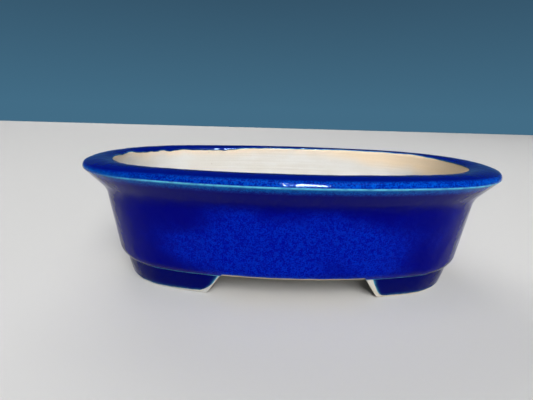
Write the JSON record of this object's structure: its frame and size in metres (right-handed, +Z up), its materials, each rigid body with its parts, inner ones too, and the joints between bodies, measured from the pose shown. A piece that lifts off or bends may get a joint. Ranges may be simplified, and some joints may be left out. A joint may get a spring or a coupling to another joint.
{
  "type": "bonsai pot",
  "caption": "Shallow oval bonsai pot with a flared lip and cut feet, glazed outside and bare clay inside, with drainage and tie-wire holes.",
  "frame": {"origin": "centre of the footprint, on the surface the feet stand on", "axes": "+Z up, X along the oval's length, -Y towards the front"},
  "size_m": [0.25, 0.1516, 0.0723],
  "materials": {
    "clay": "matte fired stoneware",
    "glaze": "gloss"
  },
  "bodies": {
    "root": {"floor_slab": "clay", "wall": "clay", "rim_lip": "clay", "foot_front_left": "clay", "foot_front_right": "clay", "foot_back_left": "clay", "foot_back_right": "clay", "wall_glaze": "glaze", "rim_glaze": "glaze", "foot_front_left_glaze": "glaze", "foot_front_right_glaze": "glaze", "foot_back_left_glaze": "glaze", "foot_back_right_glaze": "glaze"}
  },
  "joints": []
}
